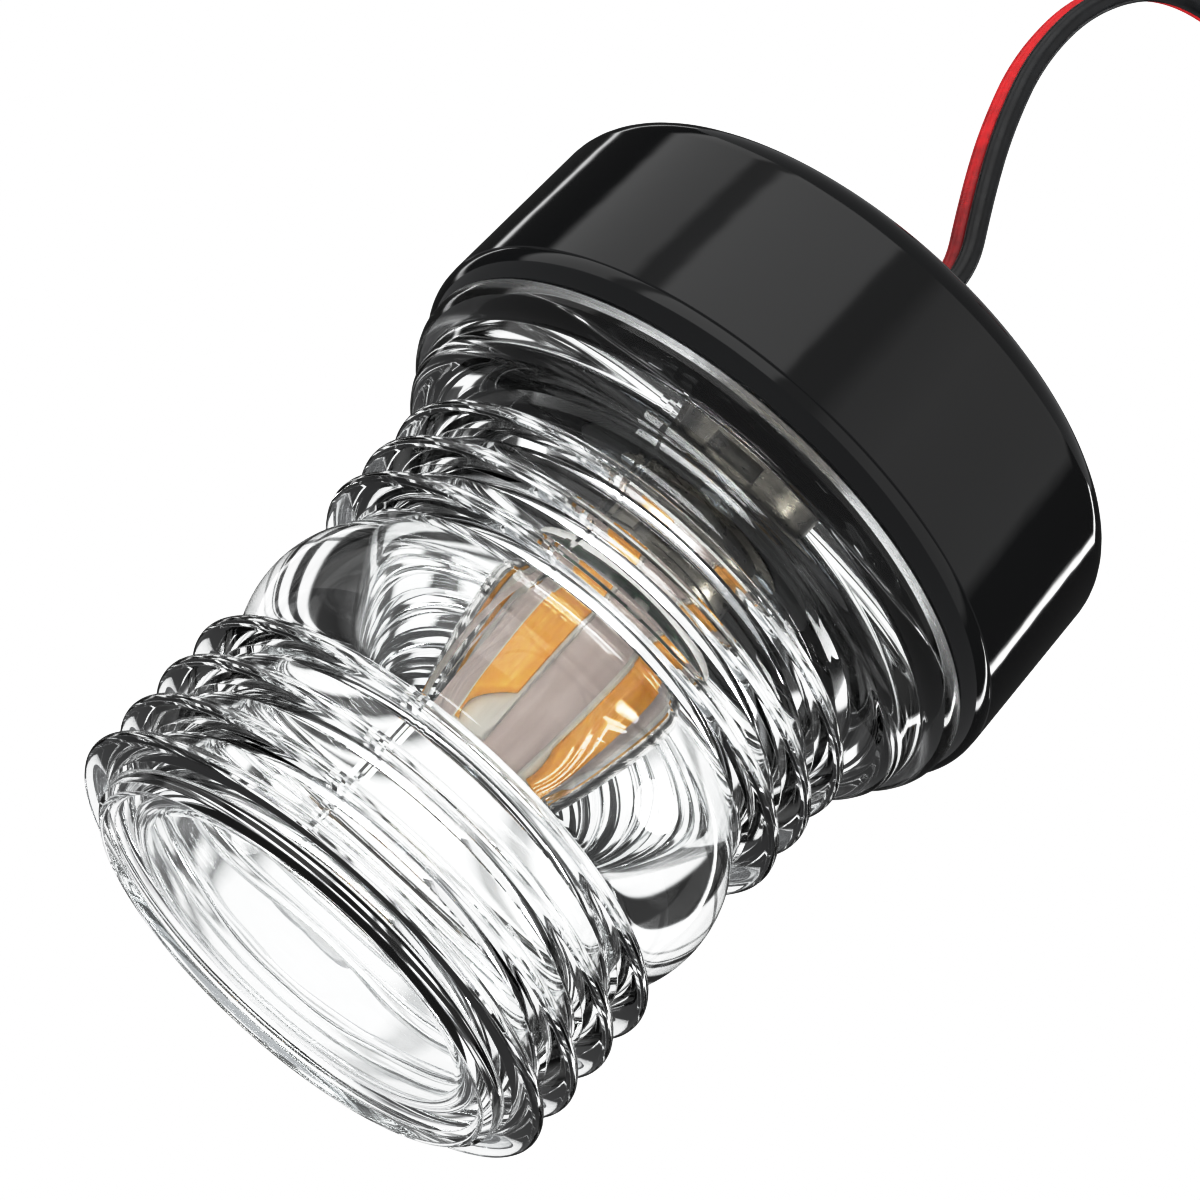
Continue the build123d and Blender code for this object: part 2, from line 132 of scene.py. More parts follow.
def clear_plastic(name, tint, index, wave_mm, wave_depth_mm):
    """Transparent moulding: flow marks that bend what is seen through it, and a faint tint."""
    material, tree, shader, place = new_material(
        name, Base_Color=linear(tint), Roughness=0.0, IOR=index, Transmission_Weight=1.0)
    waves = add_node(tree, "ShaderNodeTexNoise", {"Vector": place}, {"Scale": 1000 / wave_mm, "Detail": 1.0})
    bump = add_node(tree, "ShaderNodeBump", {"Height": waves.outputs["Fac"]},
                    {"Strength": 1.0, "Distance": wave_depth_mm * MM})
    tree.links.new(bump.outputs["Normal"], shader.inputs["Normal"])
    return material


def grey_ramp(tree, factor, stops):
    """A ramp over a 0 to 1 factor through (place, grey) pairs."""
    ramp = add_node(tree, "ShaderNodeValToRGB", {"Fac": factor})
    bands = ramp.color_ramp.elements
    while len(bands) > 1:
        bands.remove(bands[0])
    bands[0].position = stops[0][0]
    bands[0].color = (stops[0][1], stops[0][1], stops[0][1], 1.0)
    for place, grey in stops[1:]:
        bands.new(place).color = (grey, grey, grey, 1.0)
    return ramp.outputs["Color"]


def mould_marks(material):
    """The lens mould's own marks: a parting line down one side and the flange's scuffed lowest edge."""
    tree = material.node_tree
    shader = tree.nodes["Principled BSDF"]
    place = add_node(tree, "ShaderNodeTexCoord").outputs["Object"]
    sweep = add_node(tree, "ShaderNodeTexGradient", {"Vector": place}, gradient_type="RADIAL")
    seam = grey_ramp(tree, sweep.outputs["Fac"], [(0.2988, 0.0), (0.2996, 1.0), (0.3004, 1.0), (0.3012, 0.0)])
    height = add_node(tree, "ShaderNodeSeparateXYZ", {"Vector": place}).outputs["Z"]
    below_tip = add_node(tree, "ShaderNodeMath", {0: height}, {1: 85 * MM}, operation="LESS_THAN")
    kept = add_node(tree, "ShaderNodeMath", {0: seam, 1: below_tip.outputs["Value"]}, operation="MULTIPLY")
    ridge = add_node(tree, "ShaderNodeBump", {"Height": kept.outputs["Value"]},
                     {"Strength": 1.0, "Distance": 0.1 * MM})
    tree.links.new(shader.inputs["Normal"].links[0].from_socket, ridge.inputs["Normal"])
    tree.links.new(ridge.outputs["Normal"], shader.inputs["Normal"])
    share = add_node(tree, "ShaderNodeMapRange", {"Value": height}, {"From Max": 100 * MM})
    flange_edge = [(0.254, 0.0), (0.256, 0.3), (0.264, 0.3), (0.266, 0.0)]
    scuffs = grey_ramp(tree, share.outputs["Result"], flange_edge)
    tree.links.new(scuffs, shader.inputs["Roughness"])


# Injection-moulded ABS, polished mould: deep black, sharp reflections, a few soft sink marks.
black_abs = grained("high_gloss_black_abs", "#0b0b0c", "#101112", 0.06, 14.0, 0.03, 0.02, IOR=1.5)
# Moulded acrylic, clear: strong bending of light, slow waves from the flow of the melt.
lens_acrylic = clear_plastic("clear_acrylic_lens", "#fdfefe", 1.49, 9.0, 0.012)
mould_marks(lens_acrylic)
# Moulded acrylic of the lamp's cover: clear with a trace of warmth.
cover_acrylic = clear_plastic("clear_acrylic_cover", "#fffdfa", 1.49, 4.0, 0.006)
# Soft PVC insulation: satin, with fine extrusion grain.
pvc_black = grained("black_pvc_insulation", "#0b0c0e", "#15171a", 0.33, 0.5, 0.01)
pvc_red = grained("red_pvc_insulation", "#a3101a", "#c01c26", 0.33, 0.5, 0.01)
# Tinned copper strands: soft grey metal.
tinned_copper = grained("tinned_copper", "#b9b7b2", "#d6d3cd", 0.3, 0.3, 0.01, Metallic=1.0)
# Nitrile rubber of the O-ring: black, matt sheen.
nitrile = grained("nitrile_rubber", "#101010", "#1c1c1c", 0.5, 0.4, 0.01)
# Closed-cell EVA foam of the pad: charcoal, finely pitted.
eva_foam = grained("closed_cell_eva_foam", "#17181a", "#2c2d30", 0.85, 0.5, 0.12)
# EPDM of the grommet: dark grey, dull.
epdm = grained("epdm_rubber", "#161616", "#232323", 0.6, 0.5, 0.02)
# Glass-filled nylon of the lamp holder plate: black, slightly mottled.
nylon = grained("glass_filled_nylon", "#0a0a0a", "#121211", 0.35, 0.6, 0.02)
# Nickel-plated brass: warm silver, lightly drawn.
nickel = grained("nickel_plated_brass", "#79756e", "#8d8980", 0.3, 0.5, 0.004, Metallic=1.0)
# Zinc-plated steel: bluish silver.
zinc = grained("zinc_plated_steel", "#a9afb4", "#c8cdd1", 0.28, 0.5, 0.006, Metallic=1.0)
# Spring steel wire: darker grey.
spring_steel = grained("spring_steel_wire", "#7b7c7e", "#95969a", 0.25, 0.3, 0.004, Metallic=1.0)
# Brass of tags and contacts.
brass = grained("brass", "#c9a64e", "#ddbe6c", 0.25, 0.4, 0.006, Metallic=1.0)
# Paper phenolic: tan brown with a fibrous mottle.
phenolic = grained("paper_phenolic", "#6b4325", "#86582f", 0.4, 0.4, 0.01)
# White PBT of the lamp's collar.
white_pbt = grained("white_pbt", "#e4e2de", "#f2f0ec", 0.3, 0.8, 0.008)
# Green solder mask over copper.
solder_mask = grained("green_solder_mask", "#0e4f2a", "#176a3a", 0.3, 0.7, 0.008)
# Black moulding compound of the driver chips.
epoxy = grained("black_epoxy_moulding", "#161616", "#242424", 0.5, 0.2, 0.01)
# Heat-spreading plastic of the LED column: pinkish grey, satin.
column_plastic = grained("pinkish_grey_column", "#c6b9b6", "#d6cbc8", 0.35, 0.7, 0.01)
# White solder mask on the aluminium LED boards.
white_board = grained("white_led_board", "#d9d8d4", "#eceae6", 0.35, 0.5, 0.006)
# Phosphor in silicone over the LEDs: egg-yolk yellow, soft and slightly glossy.
phosphor = grained("yellow_phosphor_silicone", "#f7ae0c", "#ffc92e", 0.28, 0.5, 0.03)
# Brushed aluminium of the disc on the column.
disc_aluminium = grained("brushed_aluminium", "#b6b4b4", "#cfcdcd", 0.35, 0.3, 0.006, Metallic=1.0)


# ---------------------------------------------------------------- modelling helpers
def arc(start, middle, end, steps):
    """Points of the circle through three points, after start and up to end."""
    (ax, ay), (bx, by), (cx, cy) = start, middle, end
    doubled = 2 * (ax * (by - cy) + bx * (cy - ay) + cx * (ay - by))
    a2, b2, c2 = ax * ax + ay * ay, bx * bx + by * by, cx * cx + cy * cy
    ox = (a2 * (by - cy) + b2 * (cy - ay) + c2 * (ay - by)) / doubled
    oy = (a2 * (cx - bx) + b2 * (ax - cx) + c2 * (bx - ax)) / doubled
    first = atan2(ay - oy, ax - ox)
    sweep = (atan2(cy - oy, cx - ox) - first) % TURN
    if (atan2(by - oy, bx - ox) - first) % TURN > sweep:
        sweep -= TURN
    radius = hypot(ax - ox, ay - oy)
    return [(ox + radius * cos(first + sweep * i / steps), oy + radius * sin(first + sweep * i / steps))
            for i in range(1, steps + 1)]


def eased(points, radius, sharpest=20.0, steps=3):
    """The outline with each corner that turns more than sharpest degrees rounded, as a moulding's are."""
    made = [points[0]]
    for before, corner, after in zip(points, points[1:], points[2:]):
        first = Vector(before) - Vector(corner)
        second = Vector(after) - Vector(corner)
        turn = pi - first.angle(second)
        if turn < radians(sharpest):
            made.append(corner)
            continue
        cut = min(radius * tan(turn / 2), 0.4 * first.length, 0.4 * second.length)
        start = Vector(corner) + first.normalized() * cut
        end = Vector(corner) + second.normalized() * cut
        for i in range(steps + 1):
            t = i / steps
            point = start * (1 - t) ** 2 + Vector(corner) * 2 * t * (1 - t) + end * t ** 2
            made.append((point.x, point.y))
    return made + [points[-1]]


def edit(piece):
    """Makes one piece the active one and opens it in edit mode with all of it selected."""
    bpy.ops.object.select_all(action="DESELECT")
    bpy.context.view_layer.objects.active = piece
    piece.select_set(True)
    bpy.ops.object.mode_set(mode="EDIT")
    bpy.ops.mesh.select_all(action="SELECT")


def close_edit(piece, smooth=32.0, recalculate=True):
    """Merges doubles, points the faces outwards, leaves edit mode and shades by angle."""
    bpy.ops.mesh.select_all(action="SELECT")
    bpy.ops.mesh.remove_doubles(threshold=2e-6)
    if recalculate:
        bpy.ops.mesh.normals_make_consistent(inside=False)
    bpy.ops.object.mode_set(mode="OBJECT")
    bpy.ops.object.shade_smooth_by_angle(angle=radians(smooth))
    return piece


def draw_outline(name, outline, azimuth=0.0):
    """Draws (radius, height) points in millimetres as a chain of edges in the half plane at an azimuth."""
    places = [Vector((r * cos(azimuth), r * sin(azimuth), z)) * MM for r, z in outline]
    bpy.ops.object.select_all(action="DESELECT")
    bpy.ops.mesh.primitive_plane_add(size=MM)
    piece = bpy.context.object
    piece.name = name
    bpy.ops.object.mode_set(mode="EDIT")
    bpy.ops.mesh.merge(type="CENTER")
    bpy.ops.transform.translate(value=places[0])
    for before, after in zip(places, places[1:]):
        bpy.ops.mesh.extrude_vertices_move(TRANSFORM_OT_translate={"value": after - before})
    return piece


def turned(name, outline, steps=192, smooth=32.0):
    """A round piece: its closed outline, spun about the lens axis."""
    piece = draw_outline(name, outline)
    bpy.ops.mesh.select_all(action="SELECT")
    bpy.ops.mesh.remove_doubles(threshold=2e-6)
    bpy.ops.mesh.spin(steps=steps, angle=TURN, center=(0, 0, 0), axis=(0, 0, 1))
    return close_edit(piece, smooth)


def apply_modifier(piece, kind, **settings):
    """Adds one modifier with its settings and applies it."""
    bpy.ops.object.select_all(action="DESELECT")
    bpy.context.view_layer.objects.active = piece
    piece.select_set(True)
    modifier = piece.modifiers.new(kind.lower(), kind)
    for name, value in settings.items():
        setattr(modifier, name, value)
    bpy.ops.object.modifier_apply(modifier=modifier.name)
    return piece


def fuse(piece, tool, operation):
    """Joins a tool to a piece or cuts it out, and deletes the tool."""
    apply_modifier(piece, "BOOLEAN", operation=operation, object=tool, solver="EXACT")
    bpy.data.objects.remove(tool)
    return piece


def joined(pieces, name):
    """Several pieces made into one object."""
    bpy.ops.object.select_all(action="DESELECT")
    for piece in pieces:
        piece.select_set(True)
    bpy.context.view_layer.objects.active = pieces[0]
    bpy.ops.object.join()
    bpy.context.object.name = name
    return bpy.context.object


def bar(name, radius, low, high, place, sides=32):
    """An upright round bar between two heights, in millimetres, at (x, y)."""
    bpy.ops.object.select_all(action="DESELECT")
    middle = Vector((place[0], place[1], (low + high) / 2)) * MM
    bpy.ops.mesh.primitive_cylinder_add(vertices=sides, radius=radius * MM, depth=(high - low) * MM,
                                        location=middle)
    piece = bpy.context.object
    piece.name = name
    bpy.ops.object.transform_apply(location=True, rotation=True, scale=True)
    return piece


def around(radius, azimuth):
    """The point at a radius and an azimuth in degrees."""
    return radius * cos(radians(azimuth)), radius * sin(radians(azimuth))


def bench_copy(node, ease_mm=0.12, segments=2, smooth=32.0):
    """A copy of a CAD node: its triangles merged into faces, its edges eased, its round faces smooth."""
    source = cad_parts[node]
    piece = bpy.data.objects.new(node + "_finished", source.data.copy())
    bpy.context.scene.collection.objects.link(piece)
    edit(piece)
    bpy.ops.mesh.remove_doubles(threshold=2e-6)
    bpy.ops.mesh.dissolve_limited(angle_limit=radians(0.4), delimit=set())
    bpy.ops.object.mode_set(mode="OBJECT")
    if ease_mm:
        apply_modifier(piece, "BEVEL", width=ease_mm * MM, segments=segments, limit_method="ANGLE",
                       angle_limit=radians(35), use_clamp_overlap=True)
    bpy.ops.object.shade_smooth_by_angle(angle=radians(smooth))
    return piece


def dress(piece, material, slot, body, *nodes):
    """Gives a piece its material and its body, and hides the CAD nodes that it stands for. The slot is not
    used.
    """
    piece.data.materials.clear()
    piece.data.materials.append(material)
    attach(piece, body)
    if nodes:
        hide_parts(*nodes)
    return piece


# ---------------------------------------------------------------- cord
CORD_ROUTE = [
    (0.0, 0.0, 0.006),
    (0.0, 0.0, -0.007),
    (-0.0033, 0.0, -0.0168),
    (0.0015, 0.0, -0.0262),
    (0.0049, 0.0, -0.0341),
    (0.0075, 0.0, -0.0435),
    (0.007, 0.0, -0.0536),
    (0.002, 0.0, -0.0616),
    (-0.0084, 0.0, -0.0636),
    (-0.0198, 0.0, -0.0682),
    (-0.0256, 0.0, -0.079),
    (-0.026, 0.0, -0.094),
    (-0.0228, 0.0, -0.1075),
    (-0.0214, 0.0, -0.1215),
    (-0.0232, 0.0, -0.135),
]
WIRE_RADIUS = 1.15 * MM
WIRE_OFFSET = 1.16 * MM
CORD_TURN = radians(66.0)  # the flat cord's width runs at this azimuth where it leaves
WIRE_SIDES = 24


def nurbs_points(name, points):
    """The points of a smooth NURBS line with these control points."""
    curve = bpy.data.curves.new(name, "CURVE")
    curve.dimensions = "3D"
    spline = curve.splines.new("NURBS")
    spline.points.add(len(points) - 1)
    for point, place in zip(spline.points, points):
        point.co = (*place, 1.0)
    spline.order_u = 3
    spline.use_endpoint_u = True
    spline.resolution_u = 12
    holder = bpy.data.objects.new(name, curve)
    bpy.context.scene.collection.objects.link(holder)
    bpy.context.view_layer.update()
    mesh = bpy.data.meshes.new_from_object(holder)
    found = [v.co.copy() for v in mesh.vertices]
    bpy.data.objects.remove(holder)
    return found


def directions(points):
    """The direction of the line at each of its points."""
    ahead = points[1:] + points[-1:]
    behind = points[:1] + points[:-1]
    return [(a - b).normalized() for a, b in zip(ahead, behind)]


def swept_tube(name, centres, across, section):
    """A closed tube whose section, a list of (side, lift), is carried along the centres."""
    verts, faces = [], []
    count = len(section)
    for centre, tangent, side in zip(centres, directions(centres), across):
        lift = tangent.cross(side).normalized()
        verts += [centre + side * s + lift * t for s, t in section]
    for ring in range(len(centres) - 1):
        for k in range(count):
            a, b = ring * count + k, ring * count + (k + 1) % count
            faces.append((a, b, b + count, a + count))
    faces.append(tuple(range(count)))
    faces.append(tuple(range(len(verts) - count, len(verts))))
    mesh = bpy.data.meshes.new(name)
    mesh.from_pydata(verts, [], faces)
    piece = bpy.data.objects.new(name, mesh)
    bpy.context.scene.collection.objects.link(piece)
    edit(piece)
    return close_edit(piece, 40.0)


def circle_section(radius, sides):
    """A round section's points."""
    return [(radius * cos(TURN * k / sides), radius * sin(TURN * k / sides)) for k in range(sides)]


cord_line = nurbs_points("cord_line", CORD_ROUTE)
cord_across = []
for tangent in directions(cord_line):
    level_side = Vector((0, 1, 0))
    other_side = level_side.cross(tangent).normalized()
    cord_across.append(level_side * sin(CORD_TURN) - other_side * cos(CORD_TURN))


# The two round conductors are moulded together side by side, with a shallow groove along the join.
def conductor_half(side):
    """One conductor's round section, set to its side of the cord."""
    points = []
    for k in range(WIRE_SIDES):
        angle = TURN * k / WIRE_SIDES
        points.append((side * WIRE_OFFSET + WIRE_RADIUS * cos(angle), WIRE_RADIUS * sin(angle)))
    return points


def flat_cord():
    """The figure-of-eight cord: both conductors in one piece, each half in its own colour."""
    halves = []
    for side, material in ((-1, pvc_black), (1, pvc_red)):
        half = swept_tube("cord_half", cord_line, cord_across, conductor_half(side))
        half.data.materials.append(material)
        halves.append(half)
    return joined(halves, "flat_cord")


def bare_tail(name, side):
    """The end of one conductor where the pair is pulled apart: its insulation on its own gentle bend."""
    end = cord_line[-1]
    ahead = directions(cord_line)[-1]
    root = end + cord_across[-1] * side * WIRE_OFFSET
    splay = Vector((side * 0.16, side * 0.22, 0))
    bend = root + ahead * 7 * MM
    middle = bend + (ahead + splay) * 8 * MM
    tip = middle + (ahead + splay * 0.3) * 8 * MM
    line = nurbs_points(name, [root, root + ahead * 3 * MM, bend, middle, tip - (tip - middle) * 0.4, tip])
    across = [Vector((0, 1, 0)).cross(d).normalized() for d in directions(line)]
    return swept_tube(name, line, across, circle_section(WIRE_RADIUS, WIRE_SIDES)), line


def twisted_strands(name, line):
    """Seven tinned strands twisted together, standing out of the insulation."""
    strand_radius, lay_length, bare_length = 0.22 * MM, 6.0 * MM, 7.0 * MM
    ahead = directions(line)[-1]
    side = Vector((0, 1, 0)).cross(ahead).normalized()
    lift = ahead.cross(side)
    made = []
    for strand in range(7):
        reach = 0.0 if strand == 6 else 1.85 * strand_radius
        centres = []
        for i in range(25):
            along = bare_length * i / 24
            angle = TURN * (strand / 6 + along / lay_length)
            squeeze = 1.0 if i < 20 else 1.0 - 0.05 * (i - 20)
            offset = (side * cos(angle) + lift * sin(angle)) * reach * squeeze
            centres.append(line[-1] + ahead * (along - 0.8 * MM) + offset)
        made.append(swept_tube(name, centres, [side] * 25, circle_section(strand_radius, 8)))
    return joined(made, name)


cord = flat_cord()
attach(cord, "base")
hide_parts("cord_black", "cord_red")
for colour, side, material in (("black", -1, pvc_black), ("red", 1, pvc_red)):
    tail, tail_line = bare_tail("tail_end_" + colour, side)
    dress(tail, material, "pvc_" + colour, "base", "tail_" + colour)
    strands = twisted_strands("strand_bundle_" + colour, tail_line)
    dress(strands, tinned_copper, "tinned_copper", "base", "strands_" + colour)


# ---------------------------------------------------------------- lens
# Radii and heights in millimetres.
WALL = 25.2
CAVITY, CEILING = 22.2, 85.4
RIB, CREST_HALF, ROOT_HALF = 29.0, 0.85, 1.2
LOWER_RIBS = (37.85, 43.2, 48.5)
UPPER_RIBS = (69.4, 74.9, 80.4, 85.7)
BELT_HEIGHT, BELT_HALF, BELT_RADIUS = 59.25, 8.4, 28.5
TIP, TIP_RADIUS = 89.1, 25.1
DISH_RADIUS, DISH_EDGE, DISH_RISE = 23.2, 88.1, 0.4
SKIRT, SKIRT_BORE, SKIRT_BOTTOM = 30.2, 28.0, 11.0
SEAL_LAND, SEAL_LAND_BOTTOM = 31.2, 22.4
FLANGE, FLANGE_BOTTOM, FLANGE_TOP = 34.6, 25.6, 26.9
THREAD_LEAD, THREAD_STARTS = 18.0, (60, 180, 300)
RIDGE_THICKNESS, RIDGE_SPAN = 1.3, 28
LENS_RIDGE = (29.9, 31.4, 15.2)  # inner radius, outer radius, height of its middle
COLLAR_RIDGE = (30.5, 32.0, 16.75)


def rib_outline(height):
    """One Fresnel rib: a wedge with a round crest."""
    low, high = (RIB - CREST_HALF, height - CREST_HALF), (RIB - CREST_HALF, height + CREST_HALF)
    return [(WALL, height - ROOT_HALF), low, *arc(low, (RIB, height), high, 8), (WALL, height + ROOT_HALF)]


def lens_outline():
    """The lens section: skirt, seal land, flange, stepped shoulder, cove, ribs and belt, tip, cavity."""
    outside = [(SKIRT_BORE, SKIRT_BOTTOM), (SKIRT, SKIRT_BOTTOM), (SKIRT, SEAL_LAND_BOTTOM)]
    outside += [(SEAL_LAND, SEAL_LAND_BOTTOM), (SEAL_LAND, FLANGE_BOTTOM), (FLANGE, FLANGE_BOTTOM)]
    outside += [(FLANGE, FLANGE_TOP)]
    outside += arc((FLANGE, FLANGE_TOP), (33.9, 28.4), (32.3, 29.2), 8)
    outside += [(32.0, 31.0)]
    outside += arc((32.0, 31.0), (31.4, 32.3), (30.2, 32.8), 7)
    outside += arc((30.2, 32.8), (26.8, 33.6), (WALL, 35.4), 12)
    for height in LOWER_RIBS:
        outside += rib_outline(height)
    foot, head = (WALL, BELT_HEIGHT - BELT_HALF), (WALL, BELT_HEIGHT + BELT_HALF)
    outside += [foot, *arc(foot, (BELT_RADIUS, BELT_HEIGHT), head, 30)]
    for height in UPPER_RIBS:
        outside += rib_outline(height)
    outside += [(TIP_RADIUS, 87.4), (TIP_RADIUS, 88.4), (24.4, TIP), (23.9, TIP), (DISH_RADIUS, DISH_EDGE)]
    steps = (0.1, 0.2, 0.35, 0.5, 0.65, 0.8, 0.9, 0.95)
    dish = [(DISH_RADIUS * (1 - t), DISH_EDGE + DISH_RISE * (1 - (1 - t) ** 2)) for t in steps]
    corner = arc((19.4, CEILING), (21.1, 84.7), (21.8, 83.0), 8)
    inside = [(0.0, CEILING), (10.0, CEILING), (19.4, CEILING), *corner]
    inside += [(CAVITY, 34.0), (24.0, 29.6), (SKIRT_BORE, 26.6), (SKIRT_BORE, SKIRT_BOTTOM)]
    return eased(outside + dish + [(0.0, DISH_EDGE + DISH_RISE)], 0.25) + eased(inside, 0.3)


def thread_ridge(name, inner, outer, height, azimuth):
    """One start of the thread: a short climbing ridge about its middle azimuth."""
    centres, sides = [], []
    for along in range(-RIDGE_SPAN, RIDGE_SPAN + 1, 2):
        x, y = around((inner + outer) / 2, azimuth + along)
        centres.append(Vector((x, y, height + THREAD_LEAD * along / 360)) * MM)
        sides.append(Vector((*around(1, azimuth + along), 0)))
    half_depth, half_thick = (outer - inner) / 2 * MM, RIDGE_THICKNESS / 2 * MM
    corners = [(-half_depth, -half_thick), (half_depth, -half_thick), (half_depth, half_thick),
               (-half_depth, half_thick)]
    return swept_tube(name, centres, sides, corners)


lens = turned("lens_moulding", lens_outline(), steps=288, smooth=28.0)
for azimuth in THREAD_STARTS:
    fuse(lens, thread_ridge("lens_thread", *LENS_RIDGE, azimuth), "UNION")
bpy.ops.object.shade_smooth_by_angle(angle=radians(28))
dress(lens, lens_acrylic, "clear_lens", "lens", "lens")

# ---------------------------------------------------------------- base
BASE, BASE_BORE, FLOOR = 36.0, 33.0, 4.0
CORD_HOLE, PAD_INNER, PAD_OUTER, PAD_RECESS = 4.95, 8.9, 28.1, 1.5
POST_CIRCLE, POST_RADIUS, POST_TOP, PILOT_RADIUS = 14.0, 2.8, 17.0, 1.15
SCREW_CIRCLE, SCREW_HOLE = 23.0, 2.3

cup_outline = [(CORD_HOLE, FLOOR), (CORD_HOLE, 0.0), (PAD_INNER, 0.0), (PAD_INNER, PAD_RECESS)]
cup_outline += [(PAD_OUTER, PAD_RECESS), (PAD_OUTER, 0.0), (31.43, 0.0)]
cup_outline += arc((31.43, 0.0), (34.27, 1.12), (35.53, 3.9), 10)
cup_outline += [(BASE, 22.35), (35.9, 22.45), (BASE_BORE, 22.45), (BASE_BORE, FLOOR), (CORD_HOLE, FLOOR)]
base = turned("base_moulding", cup_outline, steps=256)
for azimuth in (30, 150, 270):
    place = around(POST_CIRCLE, azimuth)
    fuse(base, bar("post", POST_RADIUS, FLOOR - 0.5, POST_TOP, place, 48), "UNION")
    fuse(base, bar("pilot", PILOT_RADIUS, 10.0, POST_TOP + 1.0, place, 32), "DIFFERENCE")
for azimuth in (90, 210, 330):
    place = around(SCREW_CIRCLE, azimuth)
    fuse(base, bar("fixing_hole", SCREW_HOLE, -1.0, FLOOR + 2.0, place, 48), "DIFFERENCE")
bpy.ops.object.shade_smooth_by_angle(angle=radians(32))
dress(base, black_abs, "black_abs", "base", "base_cup")

THREAD_BORE, COLLAR_FOOT, COLLAR_STEP = 31.7, 12.0, 23.9
collar_outline = [(THREAD_BORE, COLLAR_STEP), (THREAD_BORE, COLLAR_FOOT), (BASE_BORE, COLLAR_FOOT)]
collar_outline += [(BASE_BORE, 22.4), (35.9, 22.4)]
collar_outline += arc((35.9, 22.4), (35.6, 24.4), (34.3, 25.5), 12)
collar_outline += [(32.9, 25.5), (32.9, COLLAR_STEP), (THREAD_BORE, COLLAR_STEP)]
collar = turned("collar_ring", eased(collar_outline, 0.15), steps=256)
for azimuth in THREAD_STARTS:
    fuse(collar, thread_ridge("collar_thread", *COLLAR_RIDGE, azimuth), "UNION")
bpy.ops.object.shade_smooth_by_angle(angle=radians(32))
dress(collar, black_abs, "black_abs", "base", "collar")

# ---------------------------------------------------------------- lamp cover
SHOULDER, COVER, COVER_FOOT, COVER_TOP, COVER_WALL = 4.6, 11.3, 39.0, 57.5, 0.9
slope = sin(radians(45))


def cover_shell(radius, top, shoulder):
    """Half of the cover's section, from its foot up over the shoulder to the axis."""
    drop = shoulder * (1 - slope)
    bend = arc((radius, top - shoulder), (radius - drop, top - drop), (radius - shoulder, top), 12)
    return [(radius, COVER_FOOT), (radius, top - shoulder), *bend, (radius * 0.3, top), (0.0, top)]


outer = cover_shell(COVER, COVER_TOP, SHOULDER)
inner = cover_shell(COVER - COVER_WALL, COVER_TOP - COVER_WALL, SHOULDER - COVER_WALL)
cover = turned("cover_moulding", outer + inner[::-1] + [(COVER, COVER_FOOT)], steps=160)
dress(cover, cover_acrylic, "clear_cover", "lamp", "lamp_cover")

# ---------------------------------------------------------------- pieces finished from their CAD shapes
FINISHED = [
    # node, material, slot, body, eased edge in millimetres
    ("mounting_pad", eva_foam, "foam_rubber", "base", 0.15),
    ("cord_grommet", epdm, "grommet_rubber", "base", 0.2),
    ("holder_plate", nylon, "holder_plastic", "base", 0.1),
    ("plate_screws", zinc, "zinc_steel", "base", 0.08),
    ("socket_shell", nickel, "nickel_plate", "base", 0.08),
    ("socket_rivets", zinc, "zinc_steel", "base", 0.12),
    ("contact_carrier", phenolic, "phenolic", "base", 0.12),
    ("terminal_tags", brass, "brass", "base", 0.05),
    ("lead_black", pvc_black, "pvc_black", "base", 0.05),
    ("lead_red", pvc_red, "pvc_red", "base", 0.05),
    ("lens_seal", nitrile, "seal_rubber", "seal", 0.0),
    ("contact_plungers", brass, "brass", "contacts", 0.05),
    ("lamp_cap", nickel, "nickel_plate", "lamp", 0.06),
    ("lamp_pins", nickel, "nickel_plate", "lamp", 0.12),
    ("lamp_insulator", phenolic, "phenolic", "lamp", 0.1),
    ("lamp_contacts", tinned_copper, "tinned_copper", "lamp", 0.12),
    ("lamp_collar", white_pbt, "lamp_white", "lamp", 0.15),
    ("driver_board", solder_mask, "board_green", "lamp", 0.06),
    ("driver_chips", epoxy, "chip_black", "lamp", 0.1),
    ("column_feet", white_pbt, "lamp_white", "lamp", 0.1),
    ("led_column", column_plastic, "column_plastic", "lamp", 0.12),
    ("led_boards", white_board, "board_white", "lamp", 0.06),
    ("led_strips", phosphor, "phosphor", "lamp", 0.1),
    ("column_disc", disc_aluminium, "disc_aluminium", "lamp", 0.12),
]
for node, material, slot, body, ease_mm in FINISHED:
    dress(bench_copy(node, ease_mm), material, slot, body, node)

# The two contact springs, wound: open turns between two closed ends.
COIL_RADIUS, COIL_WIRE, SPRING_FOOT, SPRING_HEAD = 1.375, 0.225, 14.05, 18.95
COIL_TURNS, CLOSED_TURNS, CLOSED_PITCH = 6, 0.9, 0.5
open_rise = SPRING_HEAD - SPRING_FOOT - 2 * COIL_WIRE - 2 * CLOSED_TURNS * CLOSED_PITCH
coils = []
for middle in (-3.2, 3.2):
    centres, sides = [], []
    for i in range(COIL_TURNS * 24 + 1):
        turns = i / 24
        share = min(max((turns - CLOSED_TURNS) / (COIL_TURNS - 2 * CLOSED_TURNS), 0.0), 1.0)
        closed = min(turns, CLOSED_TURNS) + max(turns - (COIL_TURNS - CLOSED_TURNS), 0.0)
        across = Vector((cos(TURN * turns), sin(TURN * turns), 0))
        lift = SPRING_FOOT + COIL_WIRE + CLOSED_PITCH * closed + share * open_rise
        centres.append((Vector((middle, 0, lift)) + across * COIL_RADIUS) * MM)
        sides.append(across)
    coils.append(swept_tube("contact_coil", centres, sides, circle_section(COIL_WIRE * MM, 10)))
springs = joined(coils, "wound_springs")
dress(springs, spring_steel, "spring_steel", "base", "contact_springs")
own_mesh(springs)


